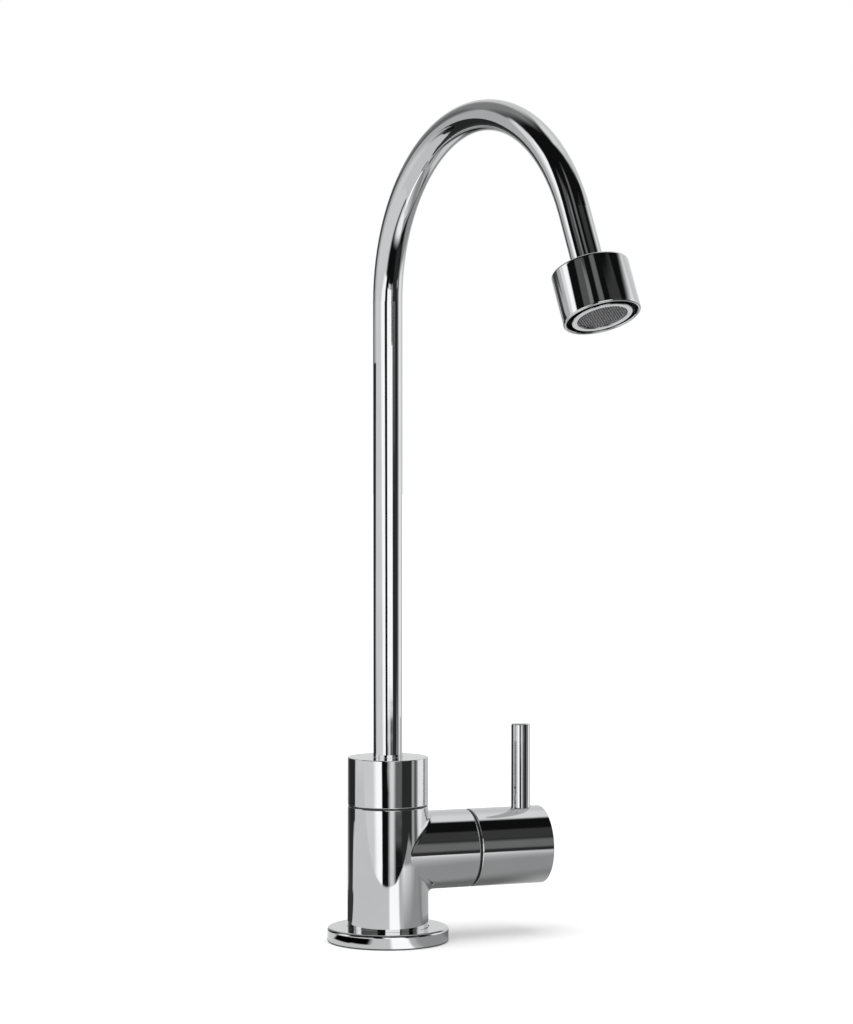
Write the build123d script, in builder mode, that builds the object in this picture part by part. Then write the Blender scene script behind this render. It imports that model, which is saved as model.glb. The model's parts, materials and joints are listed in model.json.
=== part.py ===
"""Side-lever pillar tap with a swan-neck swivel spout, in millimetres.

The origin is the centre of the base flange's underside, on the worktop. +Z is up, +X runs
along the valve in the side arm, and the user stands on the -Y side.
"""

import os
from math import ceil, cos, radians, sin

from build123d import *

os.makedirs("parts", exist_ok=True)

# Clearances
turning_gap = 0.08
thread_gap = 0.05
seal_gap = 0.03
fixed_gap = 0.1
face_gap = 0.1
disc_gap = 0.05

# Small edge breaks, and how closely a rim's radius is matched when it is picked
edge_break = 0.5
fine_break = 0.3
edge_tolerance = 0.001

# Base flange and its seal
flange_radius = 24.7
flange_height = 6.0
flange_edge = 1.2
flange_rim = 2.7
flange_seal_width = 8.0
flange_seal_height = 2.0

# Inlet shank and what clamps it to the worktop
shank_radius = 20.955 / 2
shank_engagement = 12.0
shank_seal_height = 1.5
waterway_radius = 4.5
inlet_thread_radius = 16.662 / 2
inlet_thread_length = 14.0
shank_spare_length = 12.0
shank_shoulder_seal_width = 4.5
worktop_thickness = 30.0
washer_radius = 19.0
washer_bore_gap = 0.4
worktop_seal_height = 3.0
clamp_washer_height = 2.0
backnut_across_flats = 30.0
backnut_height = 7.0

# Body and side arm
body_radius = 16.5
body_shoulder = 0.5
arm_step = 0.5
arm_reach = 18.0
arm_wall = 2.0
valve_height = 36.4
junction_fillet = 2.4

# Swivel joint between body and spout
seam_height = 0.6
socket_radius = 8.0
socket_sill = 0.8
spindle_seal_width = 1.5
spindle_seal_depth = 1.45
spindle_land = 0.5
snap_ring_depth = 5.2
snap_ring_height = 1.3
snap_ring_reach = 0.7
snap_groove_depth = 1.2
snap_ring_opening = 24.0
bush_wall = 1.5
bush_depth = 3.2
bush_flange_height = 0.5
bush_flange_inset = 0.4

# Spout collar and spindle
collar_height = 19.4
collar_wall = 2.5
collar_roof = 2.0
collar_bore_edge = 0.4
spindle_shoulder_height = 2.5
spindle_sleeve_wall = 3.0
tube_seat_lift = 1.5

# Spout tube
tube_radius = 6.0
tube_wall = 1.0
riser_length = 184.9
bend_radius = 70.0
bend_angle = 155.3
spout_azimuth = -79.4
tail_length = 22.9

# Outlet housing and aerator
outlet_radius = 14.6
outlet_length = 20.2
outlet_edge = 1.1
outlet_lip_edge = 0.6
tube_insertion = 4.0
outlet_roof = 6.0
aerator_thread_radius = 12.0
mouth_radius = 13.3
mouth_depth = 4.2
aerator_washer_height = 2.0
aerator_washer_inner = 7.5
aerator_ring_radius = 11.5
aerator_ring_wall = 1.3
screen_window_radius = 9.35
screen_lip = 0.7
screen_height = 0.6
screen_pitch = 1.5
screen_wire = 0.45
jet_plate_height = 2.0
jet_plate_skirt = 3.5
jet_hole_radius = 0.6
jet_ring_radii = (3.0, 5.6, 7.9)
jet_first_ring_count = 6
spacer_wall = 0.9

# Ceramic cartridge, measured along the arm from its seat
seat_wall = 5.4
seat_port_radius = 3.5
seat_seal_height = 3.0
seat_seal_wall = 2.6
disc_radius = 7.0
disc_height = 3.5
disc_key_width = 3.0
disc_key_depth = 1.2
port_ring_radius = 3.9
port_width = 2.8
port_angle = 62.0
housing_wall = 2.0
housing_start = 1.0
outlet_port_radius = 1.6
outlet_port_spread = 4.0
outlet_port_lift = 7.6
window_width = 8.0
window_length = 5.6
driver_height = 2.5
driver_width = 5.0
driver_gap = 0.25
driver_tab_height = 1.4
driver_tab_size = (1.6, 3.0)
driver_tab_place = 5.1
cartridge_thread_radius = 20.955 / 2
cartridge_thread_length = 8.0
cartridge_seal_height = 1.4
cartridge_seal_width = 1.5
cartridge_head_height = 3.2
cartridge_head_inset = 0.3
neck_radius = 6.6
neck_length = 7.5
stem_radius = 4.5
stem_seal_width = 1.6
stem_seal_depth = 1.1
stem_seal_pitch = 3.2
clip_height = 0.8
clip_reach = 1.6
clip_groove_depth = 0.6
clip_opening = 70.0
spline_radius = 4.0
spline_length = 10.5
spline_teeth = 20
spline_slot_depth = 0.45
spline_slot_width = 0.62

# Handle
handle_gap = 0.9
handle_length = 31.7
handle_wall = 3.0
handle_bore_depth = 9.5
glide_flange_height = 0.7
glide_flange_inset = 0.8
glide_sleeve_length = 5.0
glide_wall = 1.5
lever_radius = 4.0
lever_place = 23.3
lever_length = 34.3
lever_insertion = 10.0
handle_screw_radius = 2.0
handle_screw_length = 6.0
handle_screw_place = 5.0
screw_socket_across_flats = 2.0
screw_socket_depth = 2.5

# Heights and places that follow
flange_seal_outer = flange_radius - flange_rim
flange_seal_inner = flange_seal_outer - flange_seal_width
flange_top = flange_height
body_foot = flange_top
shank_top = flange_top + shank_engagement
clamp_face = -worktop_thickness
worktop_seal_bottom = clamp_face - worktop_seal_height
clamp_washer_bottom = worktop_seal_bottom - clamp_washer_height
backnut_bottom = clamp_washer_bottom - backnut_height
shank_shoulder = backnut_bottom - shank_spare_length
inlet_end = shank_shoulder - inlet_thread_length
arm_radius = body_radius - arm_step
arm_end = body_radius + arm_reach
body_top = valve_height + arm_radius + junction_fillet + body_shoulder
collar_bottom = body_top + seam_height
collar_top = collar_bottom + collar_height
riser_top = collar_top + riser_length
socket_floor = valve_height + outlet_port_lift - outlet_port_radius - socket_sill
spindle_radius = socket_radius - turning_gap
shoulder_radius = body_radius - collar_wall - thread_gap
tube_seat = collar_bottom + tube_seat_lift
sleeve_radius = tube_radius + spindle_sleeve_wall
sleeve_top = collar_top - collar_roof
snap_ring_low = body_top - snap_ring_depth
snap_ring_high = snap_ring_low + snap_ring_height
spindle_bottom = snap_ring_low - 2 * spindle_seal_width - 3 * spindle_land
snap_groove_radius = spindle_radius - snap_groove_depth
snap_ring_radius = socket_radius + snap_ring_reach

seat = waterway_radius + seat_wall
fixed_disc_start = seat + seat_seal_height
moving_disc_start = fixed_disc_start + disc_height + disc_gap
driver_start = moving_disc_start + disc_height
driver_end = driver_start + driver_height
cavity_radius = disc_radius + turning_gap
cavity_end = driver_end + driver_gap
housing_radius = cavity_radius + housing_wall
head_end = arm_end - cartridge_head_inset
head_start = head_end - cartridge_head_height
thread_start = head_start - cartridge_thread_length
head_pocket_radius = arm_radius - arm_wall
head_radius = head_pocket_radius - fixed_gap
neck_end = head_end + neck_length
clip_start = neck_end + face_gap
clip_end = clip_start + clip_height
spline_start = clip_end + face_gap + edge_break
spline_end = spline_start + spline_length
handle_start = arm_end + handle_gap
handle_end = handle_start + handle_length
handle_floor = handle_start + handle_bore_depth
handle_bore_radius = arm_radius - handle_wall
lever_axis = handle_start + lever_place

# Directions of the spout, its section planes and its jet
spout_out = Vector(cos(radians(spout_azimuth)), sin(radians(spout_azimuth)), 0)
spout_side = Vector(-spout_out.Y, spout_out.X, 0)
jet = spout_out * sin(radians(bend_angle)) + Vector(0, 0, cos(radians(bend_angle)))
tail_start = (
    spout_out * bend_radius * (1 - cos(radians(bend_angle)))
    + Vector(0, 0, riser_top + bend_radius * sin(radians(bend_angle)))
)
upright_section = Plane.XZ
valve_section = Plane(origin=(0, 0, valve_height), x_dir=(0, 0, 1), z_dir=(0, 1, 0))
valve_axis = Axis((0, 0, valve_height), (1, 0, 0))
bend_plane = Plane(origin=(0, 0, 0), x_dir=spout_out, z_dir=-spout_side)
jet_section = Plane(origin=tail_start, x_dir=spout_side, z_dir=spout_side.cross(jet))
jet_axis = Axis(tail_start, jet)


def across_valve(distance):
    """Plane square to the valve's axis, with its Y up."""
    return Plane(origin=(distance, 0, valve_height), x_dir=(0, 1, 0), z_dir=(1, 0, 0))


def across_jet(distance):
    """Plane square to the jet, at a distance along the spout's straight end."""
    return Plane(origin=tail_start + jet * distance, x_dir=spout_side, z_dir=jet)


def ring_section(inner, outer, low, high, mode=Mode.ADD):
    """Half section of a ring in the open sketch: radius along X, height along Y."""
    with Locations(((inner + outer) / 2, (low + high) / 2)):
        Rectangle(outer - inner, high - low, mode=mode)


def rims_of(piece, radius):
    """The full round edges of one radius on a piece."""
    circles = piece.edges().filter_by(GeomType.CIRCLE)
    return circles.filter_by(lambda edge: abs(edge.radius - radius) < edge_tolerance)


def save(piece, name):
    """Label a finished piece and write it."""
    piece.part.label = name
    export_step(piece.part, f"parts/{name}.step")


# Base flange, with a groove for its seal in the underside
with BuildPart() as base_flange:
    with BuildSketch(upright_section):
        ring_section(shank_radius + fixed_gap, flange_radius, 0, flange_top)
        ring_section(
            flange_seal_inner - fixed_gap,
            flange_seal_outer + fixed_gap,
            0,
            flange_seal_height,
            mode=Mode.SUBTRACT,
        )
    revolve(axis=Axis.Z)
    top_rim = base_flange.faces().sort_by(Axis.Z)[-1].outer_wire().edges()
    fillet(top_rim, flange_edge)
save(base_flange, "base_flange")

with BuildPart() as flange_seal:
    with BuildSketch(upright_section):
        ring_section(flange_seal_inner, flange_seal_outer, 0, flange_seal_height)
    revolve(axis=Axis.Z)
save(flange_seal, "flange_seal")

# Body with its side arm, the waterways and the bores for valve and spout
with BuildPart() as body_casting:
    with BuildSketch(Plane.XY.offset(body_foot)):
        Circle(body_radius)
    extrude(amount=body_top - body_foot)
    with BuildSketch(across_valve(0)):
        Circle(arm_radius)
    extrude(amount=arm_end)
    junction = body_casting.edges().filter_by(GeomType.CIRCLE, reverse=True)
    junction = junction.filter_by(GeomType.LINE, reverse=True)
    fillet(junction, junction_fillet)
    rims = body_casting.edges().filter_by(GeomType.CIRCLE)
    fillet(rims.group_by(Axis.Z)[-1], fine_break)
    fillet(body_casting.faces().sort_by(Axis.X)[-1].edges(), edge_break)
    with BuildSketch(upright_section):
        ring_section(0, shank_radius + thread_gap, body_foot, shank_top + shank_seal_height)
        ring_section(0, waterway_radius, body_foot, valve_height + seat_port_radius)
        ring_section(0, socket_radius, socket_floor, body_top)
        ring_section(
            0,
            snap_ring_radius + turning_gap,
            snap_ring_low - face_gap,
            snap_ring_high + face_gap,
        )
        ring_section(
            0, socket_radius + bush_wall + thread_gap, body_top - bush_depth, body_top
        )
    revolve(axis=Axis.Z, mode=Mode.SUBTRACT)
    with BuildSketch(valve_section):
        ring_section(0, seat_port_radius, 0, seat)
        ring_section(0, cartridge_thread_radius + thread_gap, seat, arm_end)
        ring_section(
            0,
            cartridge_thread_radius + cartridge_seal_width + seal_gap,
            head_start - cartridge_seal_height,
            arm_end,
        )
        ring_section(0, head_pocket_radius, head_start, arm_end)
    revolve(axis=valve_axis, mode=Mode.SUBTRACT)
    with BuildSketch(across_valve(0)):
        with Locations(
            (outlet_port_spread, outlet_port_lift), (-outlet_port_spread, outlet_port_lift)
        ):
            Circle(outlet_port_radius)
    extrude(amount=seat, mode=Mode.SUBTRACT)
save(body_casting, "body_casting")

# Inlet shank: fixing thread, then a smaller thread for the supply connection
with BuildPart() as inlet_shank:
    with BuildSketch(upright_section):
        ring_section(waterway_radius, shank_radius, shank_shoulder, shank_top)
        ring_section(waterway_radius, inlet_thread_radius, inlet_end, shank_shoulder)
    revolve(axis=Axis.Z)
    ends = inlet_shank.edges().filter_by(GeomType.CIRCLE).group_by(Axis.Z)
    chamfer(ends[0].sort_by(SortBy.RADIUS)[-1], edge_break)
    chamfer(ends[1].sort_by(SortBy.RADIUS)[-1], edge_break)
save(inlet_shank, "inlet_shank")

with BuildPart() as shank_seal:
    with BuildSketch(upright_section):
        ring_section(
            shank_radius - shank_shoulder_seal_width,
            shank_radius,
            shank_top,
            shank_top + shank_seal_height,
        )
    revolve(axis=Axis.Z)
save(shank_seal, "shank_seal")

# Rubber washer, steel washer and nut that clamp the worktop from below
with BuildPart() as worktop_seal:
    with BuildSketch(upright_section):
        ring_section(
            shank_radius + washer_bore_gap, washer_radius, worktop_seal_bottom, clamp_face
        )
    revolve(axis=Axis.Z)
save(worktop_seal, "worktop_seal")

with BuildPart() as clamp_washer:
    with BuildSketch(upright_section):
        ring_section(
            shank_radius + washer_bore_gap,
            washer_radius,
            clamp_washer_bottom,
            worktop_seal_bottom,
        )
    revolve(axis=Axis.Z)
save(clamp_washer, "clamp_washer")

with BuildPart() as backnut:
    with BuildSketch(Plane.XY.offset(backnut_bottom)):
        RegularPolygon(backnut_across_flats / 2, 6, major_radius=False)
        Circle(shank_radius + turning_gap, mode=Mode.SUBTRACT)
    extrude(amount=backnut_height)
    with BuildSketch(upright_section):
        ring_section(0, backnut_across_flats, backnut_bottom, clamp_washer_bottom)
        with Locations((backnut_across_flats, backnut_bottom)):
            Rectangle(
                backnut_across_flats, backnut_height / 2, rotation=-30, mode=Mode.SUBTRACT
            )
    revolve(axis=Axis.Z, mode=Mode.INTERSECT)
save(backnut, "backnut")

# Flanged bush that the spout turns on
with BuildPart() as swivel_bush:
    with BuildSketch(upright_section):
        ring_section(
            socket_radius, socket_radius + bush_wall, body_top - bush_depth, body_top
        )
        ring_section(
            socket_radius,
            body_radius - bush_flange_inset,
            body_top,
            body_top + bush_flange_height,
        )
    revolve(axis=Axis.Z)
save(swivel_bush, "swivel_bush")

# Cartridge housing: slotted barrel with side windows, thread, hexagon head and neck
with BuildPart() as cartridge_housing:
    with BuildSketch(valve_section):
        ring_section(cavity_radius, housing_radius, seat + housing_start, cavity_end)
        ring_section(stem_radius + turning_gap, housing_radius, cavity_end, thread_start)
        ring_section(
            stem_radius + turning_gap, cartridge_thread_radius, thread_start, head_start
        )
        ring_section(stem_radius + turning_gap, neck_radius, head_start, neck_end)
    revolve(axis=valve_axis)
    with BuildSketch(across_valve(head_start)):
        RegularPolygon(head_radius, 6)
        Circle(neck_radius, mode=Mode.SUBTRACT)
    extrude(amount=cartridge_head_height)
    with BuildSketch(across_valve(seat)):
        Rectangle(disc_key_width, 2 * housing_radius)
        Circle(cavity_radius, mode=Mode.SUBTRACT)
    extrude(amount=seat_seal_height + disc_height, mode=Mode.SUBTRACT)
    with BuildSketch(Plane.XZ):
        with Locations((driver_start + fine_break, valve_height)):
            Rectangle(window_length, window_width)
    extrude(amount=housing_radius, both=True, mode=Mode.SUBTRACT)
save(cartridge_housing, "cartridge_housing")

with BuildPart() as cartridge_seal:
    with BuildSketch(valve_section):
        ring_section(
            cartridge_thread_radius + seal_gap,
            cartridge_thread_radius + cartridge_seal_width,
            head_start - cartridge_seal_height,
            head_start,
        )
    revolve(axis=valve_axis)
save(cartridge_seal, "cartridge_seal")

with BuildPart() as seat_seal:
    with BuildSketch(valve_section):
        ring_section(
            disc_radius - seat_seal_wall, disc_radius, seat, fixed_disc_start
        )
    revolve(axis=valve_axis)
save(seat_seal, "seat_seal")


def port_outline():
    """One curved port of a valve disc, in the open sketch."""
    arc = CenterArc((0, 0), port_ring_radius, -port_angle / 2, port_angle, mode=Mode.PRIVATE)
    SlotArc(arc, port_width, mode=Mode.SUBTRACT)


# Fixed disc, keyed into the housing, with its ports to the sides
with BuildPart() as fixed_disc:
    with BuildSketch(across_valve(fixed_disc_start)):
        Circle(disc_radius)
        Rectangle(
            disc_key_width - 2 * fixed_gap, 2 * (disc_radius + disc_key_depth)
        )
        with PolarLocations(0, 2):
            port_outline()
    extrude(amount=disc_height)
save(fixed_disc, "fixed_disc")

# Moving disc, a quarter turn away while the tap is shut, with pockets for the driver
with BuildPart() as moving_disc:
    with BuildSketch(across_valve(moving_disc_start)):
        Circle(disc_radius)
        with PolarLocations(0, 2, start_angle=90):
            port_outline()
    extrude(amount=disc_height)
    with BuildSketch(across_valve(driver_start)):
        with Locations((driver_tab_place, 0), (-driver_tab_place, 0)):
            Rectangle(driver_tab_size[0] + fixed_gap, driver_tab_size[1] + fixed_gap)
    extrude(amount=-(driver_tab_height + fixed_gap), mode=Mode.SUBTRACT)
save(moving_disc, "moving_disc")


def spline_outline(grow=0.0):
    """The stem's toothed outline in the open sketch, grown all round for its socket."""
    Circle(spline_radius + grow)
    with PolarLocations(spline_radius + grow, spline_teeth):
        Rectangle(2 * spline_slot_depth, spline_slot_width - 2 * grow, mode=Mode.SUBTRACT)


# Stem: driver bar with two tabs, shaft with seal and clip grooves, toothed end
stem_seal_starts = [
    thread_start + stem_seal_width + stem_seal_pitch * step for step in range(2)
]
with BuildPart() as cartridge_stem:
    with BuildSketch(valve_section):
        ring_section(0, stem_radius, driver_end, spline_start)
        ring_section(
            stem_radius - clip_groove_depth,
            stem_radius,
            clip_start,
            clip_end,
            mode=Mode.SUBTRACT,
        )
        for start in stem_seal_starts:
            ring_section(
                stem_radius - stem_seal_depth,
                stem_radius,
                start,
                start + stem_seal_width,
                mode=Mode.SUBTRACT,
            )
    revolve(axis=valve_axis)
    with BuildSketch(across_valve(driver_start)):
        Circle(disc_radius)
        Rectangle(2 * disc_radius, driver_width, mode=Mode.INTERSECT)
    extrude(amount=driver_height)
    with BuildSketch(across_valve(driver_start)):
        with Locations((driver_tab_place, 0), (-driver_tab_place, 0)):
            Rectangle(*driver_tab_size)
    extrude(amount=-driver_tab_height)
    with BuildSketch(across_valve(spline_start)):
        spline_outline()
    extrude(amount=spline_length)
save(cartridge_stem, "cartridge_stem")

with BuildPart() as stem_seals:
    with BuildSketch(valve_section):
        for start in stem_seal_starts:
            ring_section(
                stem_radius - stem_seal_depth,
                stem_radius + turning_gap - seal_gap,
                start,
                start + stem_seal_width,
            )
    revolve(axis=valve_axis)
save(stem_seals, "stem_seals")

# Spring clip that keeps the stem in the neck, open below
with BuildPart() as stem_clip:
    with BuildSketch(valve_section):
        ring_section(
            stem_radius - clip_groove_depth,
            stem_radius - clip_groove_depth + clip_reach,
            clip_start,
            clip_end,
        )
    revolve(axis=valve_axis, revolution_arc=360 - clip_opening)
save(stem_clip, "stem_clip")

# Glide ring in the gap between arm and handle
with BuildPart() as glide_ring:
    sleeve_outer = handle_bore_radius - turning_gap
    with BuildSketch(valve_section):
        ring_section(
            sleeve_outer - glide_wall,
            arm_radius - glide_flange_inset,
            arm_end,
            arm_end + glide_flange_height,
        )
        ring_section(
            sleeve_outer - glide_wall,
            sleeve_outer,
            arm_end,
            handle_start + glide_sleeve_length,
        )
    revolve(axis=valve_axis)
save(glide_ring, "glide_ring")

# Handle barrel: a cup over the cartridge's neck with a toothed socket for the stem
handle_screw_x = spline_start + handle_screw_place
with BuildPart() as handle_barrel:
    with BuildSketch(valve_section):
        ring_section(0, arm_radius, handle_start, handle_end)
        ring_section(0, handle_bore_radius, handle_start, handle_floor, mode=Mode.SUBTRACT)
    revolve(axis=valve_axis)
    rims = rims_of(handle_barrel, arm_radius).sort_by(Axis.X)
    fillet(rims[0], edge_break)
    fillet(rims[-1], fine_break)
    with BuildSketch(across_valve(handle_floor)):
        spline_outline(grow=thread_gap)
    extrude(amount=spline_end + face_gap - handle_floor, mode=Mode.SUBTRACT)
    with BuildSketch(Plane.XY.offset(valve_height + arm_radius - lever_insertion)):
        with Locations((lever_axis, 0)):
            Circle(lever_radius + thread_gap)
    extrude(amount=lever_insertion, mode=Mode.SUBTRACT)
    with BuildSketch(Plane.XY.offset(valve_height - arm_radius)):
        with Locations((handle_screw_x, 0)):
            Circle(handle_screw_radius + thread_gap)
    extrude(amount=arm_radius, mode=Mode.SUBTRACT)
save(handle_barrel, "handle_barrel")

with BuildPart() as handle_lever:
    with BuildSketch(Plane.XY.offset(valve_height + arm_radius - lever_insertion)):
        with Locations((lever_axis, 0)):
            Circle(lever_radius)
    extrude(amount=lever_insertion + lever_length)
    chamfer(handle_lever.faces().sort_by(Axis.Z)[-1].edges(), fine_break)
save(handle_lever, "handle_lever")

# Grub screw under the handle, tightened on the toothed end
screw_tip = valve_height - spline_radius
with BuildPart() as handle_grub_screw:
    with BuildSketch(Plane.XY.offset(screw_tip - handle_screw_length)):
        with Locations((handle_screw_x, 0)):
            Circle(handle_screw_radius)
    extrude(amount=handle_screw_length)
    with BuildSketch(Plane.XY.offset(screw_tip - handle_screw_length)):
        with Locations((handle_screw_x, 0)):
            RegularPolygon(screw_socket_across_flats / 2, 6, major_radius=False)
    extrude(amount=screw_socket_depth, mode=Mode.SUBTRACT)
save(handle_grub_screw, "handle_grub_screw")

# Spindle that turns in the body, with the tube's seat above its shoulder
spindle_seal_starts = [
    spindle_bottom + spindle_land + (spindle_seal_width + spindle_land) * step
    for step in range(2)
]
with BuildPart() as spout_spindle:
    with BuildSketch(upright_section):
        ring_section(waterway_radius, spindle_radius, spindle_bottom, collar_bottom)
        ring_section(waterway_radius, shoulder_radius, collar_bottom, tube_seat)
        ring_section(
            tube_radius + thread_gap,
            shoulder_radius,
            tube_seat,
            collar_bottom + spindle_shoulder_height,
        )
        ring_section(tube_radius + thread_gap, sleeve_radius, tube_seat, sleeve_top)
        ring_section(
            snap_groove_radius,
            spindle_radius,
            snap_ring_low,
            snap_ring_high,
            mode=Mode.SUBTRACT,
        )
        for start in spindle_seal_starts:
            ring_section(
                spindle_radius - spindle_seal_depth,
                spindle_radius,
                start,
                start + spindle_seal_width,
                mode=Mode.SUBTRACT,
            )
    revolve(axis=Axis.Z)
save(spout_spindle, "spout_spindle")

with BuildPart() as spindle_seals:
    with BuildSketch(upright_section):
        for start in spindle_seal_starts:
            ring_section(
                spindle_radius - spindle_seal_depth,
                socket_radius - seal_gap,
                start,
                start + spindle_seal_width,
            )
    revolve(axis=Axis.Z)
save(spindle_seals, "spindle_seals")

# Split ring that snaps into the body's groove and keeps the spindle in
with BuildPart() as snap_ring:
    with BuildSketch(upright_section):
        ring_section(snap_groove_radius, snap_ring_radius, snap_ring_low, snap_ring_high)
    revolve(axis=Axis.Z, revolution_arc=360 - snap_ring_opening)
save(snap_ring, "snap_ring")

# Collar: a cap over the spindle that continues the body above the seam
with BuildPart() as spout_collar:
    with BuildSketch(upright_section):
        ring_section(tube_radius + thread_gap, body_radius, collar_bottom, collar_top)
        ring_section(
            tube_radius + thread_gap,
            body_radius - collar_wall,
            collar_bottom,
            sleeve_top,
            mode=Mode.SUBTRACT,
        )
    revolve(axis=Axis.Z)
    fillet(rims_of(spout_collar, body_radius), fine_break)
    bore_rims = rims_of(spout_collar, tube_radius + thread_gap).sort_by(Axis.Z)
    chamfer(bore_rims[-1], collar_bore_edge)
save(spout_collar, "spout_collar")

# Spout tube: riser, bend and straight end
with BuildPart() as spout_tube:
    with BuildLine(bend_plane):
        Line((0, tube_seat), (0, riser_top))
        bend = CenterArc((bend_radius, riser_top), bend_radius, 180, -bend_angle)
        Line(bend @ 1, bend @ 1 + (bend % 1) * (tail_length + tube_insertion))
    with BuildSketch(Plane.XY.offset(tube_seat)):
        Circle(tube_radius)
        Circle(tube_radius - tube_wall, mode=Mode.SUBTRACT)
    sweep()
save(spout_tube, "spout_tube")

# Outlet housing, measured along the jet from the end of the bend
outlet_top = tail_length
outlet_end = outlet_top + outlet_length
tube_end = outlet_top + tube_insertion
roof_end = outlet_top + outlet_roof
with BuildPart() as outlet_housing:
    with BuildSketch(jet_section):
        ring_section(0, outlet_radius, outlet_top, outlet_end)
        ring_section(0, tube_radius + thread_gap, outlet_top, tube_end, mode=Mode.SUBTRACT)
        ring_section(0, tube_radius - tube_wall, tube_end, roof_end, mode=Mode.SUBTRACT)
        ring_section(
            0, aerator_thread_radius + thread_gap, roof_end, outlet_end, mode=Mode.SUBTRACT
        )
        ring_section(
            0, mouth_radius, outlet_end - mouth_depth, outlet_end, mode=Mode.SUBTRACT
        )
    revolve(axis=jet_axis)
    rims = rims_of(outlet_housing, outlet_radius).sort_by(jet_axis)
    chamfer(rims[0], outlet_edge)
    fillet(rims[-1], outlet_lip_edge)
save(outlet_housing, "outlet_housing")

# Aerator: washer, casing with its screen window, jet plate, spacer and screen
washer_end = roof_end + aerator_washer_height
screen_end = outlet_end - screen_lip
screen_start = screen_end - screen_height
casing_bore = aerator_ring_radius - aerator_ring_wall
insert_radius = casing_bore - fixed_gap
jet_plate_end = washer_end + jet_plate_skirt
with BuildPart() as aerator_washer:
    with BuildSketch(jet_section):
        ring_section(aerator_washer_inner, aerator_thread_radius, roof_end, washer_end)
    revolve(axis=jet_axis)
save(aerator_washer, "aerator_washer")

with BuildPart() as aerator_casing:
    with BuildSketch(jet_section):
        ring_section(
            casing_bore, aerator_thread_radius, washer_end, outlet_end - mouth_depth
        )
        ring_section(
            casing_bore, aerator_ring_radius, outlet_end - mouth_depth, outlet_end
        )
        ring_section(screen_window_radius, casing_bore, screen_end, outlet_end)
    revolve(axis=jet_axis)
    casing_mouth = aerator_casing.faces().sort_by(jet_axis)[-1].edges()
    fillet(casing_mouth, fine_break)
save(aerator_casing, "aerator_casing")

with BuildPart() as jet_plate:
    with BuildSketch(jet_section):
        ring_section(0, insert_radius, washer_end, washer_end + jet_plate_height)
        ring_section(
            insert_radius - spacer_wall,
            insert_radius,
            washer_end + jet_plate_height,
            jet_plate_end,
        )
    revolve(axis=jet_axis)
    with BuildSketch(across_jet(washer_end)):
        for number, ring_radius in enumerate(jet_ring_radii, start=1):
            with PolarLocations(ring_radius, jet_first_ring_count * number):
                Circle(jet_hole_radius)
    extrude(amount=jet_plate_height, mode=Mode.SUBTRACT)
save(jet_plate, "jet_plate")

with BuildPart() as screen_spacer:
    with BuildSketch(jet_section):
        ring_section(
            insert_radius - spacer_wall, insert_radius, jet_plate_end, screen_start
        )
    revolve(axis=jet_axis)
save(screen_spacer, "screen_spacer")

screen_rows = ceil(2 * insert_radius / screen_pitch)
with BuildPart() as aerator_screen:
    with BuildSketch(across_jet(screen_start)):
        Circle(insert_radius)
        with BuildSketch(across_jet(screen_start), mode=Mode.SUBTRACT):
            with GridLocations(screen_pitch, screen_pitch, screen_rows, screen_rows):
                Rectangle(screen_pitch - screen_wire, screen_pitch - screen_wire)
            Circle(insert_radius - spacer_wall, mode=Mode.INTERSECT)
    extrude(amount=screen_height)
save(aerator_screen, "aerator_screen")
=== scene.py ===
"""Side-lever pillar tap with a swan-neck spout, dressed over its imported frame.

Lengths are in metres in the frame's own axes: +Z is up, +X runs along the valve and the
handle, and the user stands on the -Y side. Bearings are degrees round the tap from the
camera's side, positive to the right.
"""

import json
import logging
import math
from collections.abc import Mapping, Sequence
from dataclasses import dataclass, field, replace
from enum import Enum

import bmesh
import bpy
from mathutils import Euler, Matrix, Vector


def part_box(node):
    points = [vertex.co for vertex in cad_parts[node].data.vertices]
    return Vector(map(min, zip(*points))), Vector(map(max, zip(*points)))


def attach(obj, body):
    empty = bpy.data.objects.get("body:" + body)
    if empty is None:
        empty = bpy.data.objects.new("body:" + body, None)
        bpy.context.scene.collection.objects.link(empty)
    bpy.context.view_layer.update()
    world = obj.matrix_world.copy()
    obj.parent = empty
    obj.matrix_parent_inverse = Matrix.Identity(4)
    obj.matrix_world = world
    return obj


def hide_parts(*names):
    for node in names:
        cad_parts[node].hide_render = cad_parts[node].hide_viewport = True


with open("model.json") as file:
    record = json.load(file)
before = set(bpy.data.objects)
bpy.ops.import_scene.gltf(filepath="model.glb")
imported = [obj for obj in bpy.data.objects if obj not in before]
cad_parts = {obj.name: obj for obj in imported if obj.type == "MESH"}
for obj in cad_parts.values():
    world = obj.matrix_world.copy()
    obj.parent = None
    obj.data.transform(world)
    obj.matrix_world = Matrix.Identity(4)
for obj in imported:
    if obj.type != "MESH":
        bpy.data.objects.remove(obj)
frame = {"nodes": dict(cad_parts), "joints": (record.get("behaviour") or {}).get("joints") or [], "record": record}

LOG = logging.getLogger("tap")
TURN_STEPS = 96
ROUND_STEPS = 6
WELD = 0.000001
Colour = tuple[float, float, float]
Place = tuple[float, float, float]
Corner = tuple[float, float]
Span = tuple[float, float]
Material = bpy.types.Material
Thing = bpy.types.Object
Shape = bmesh.types.BMesh
Socket = bpy.types.NodeSocket
Value = Socket | float | Colour | Vector | Euler


class Spread(Enum):
    """Where a noise varies: along one line, or all through space."""

    LINE = "1D"
    SPACE = "3D"


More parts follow.
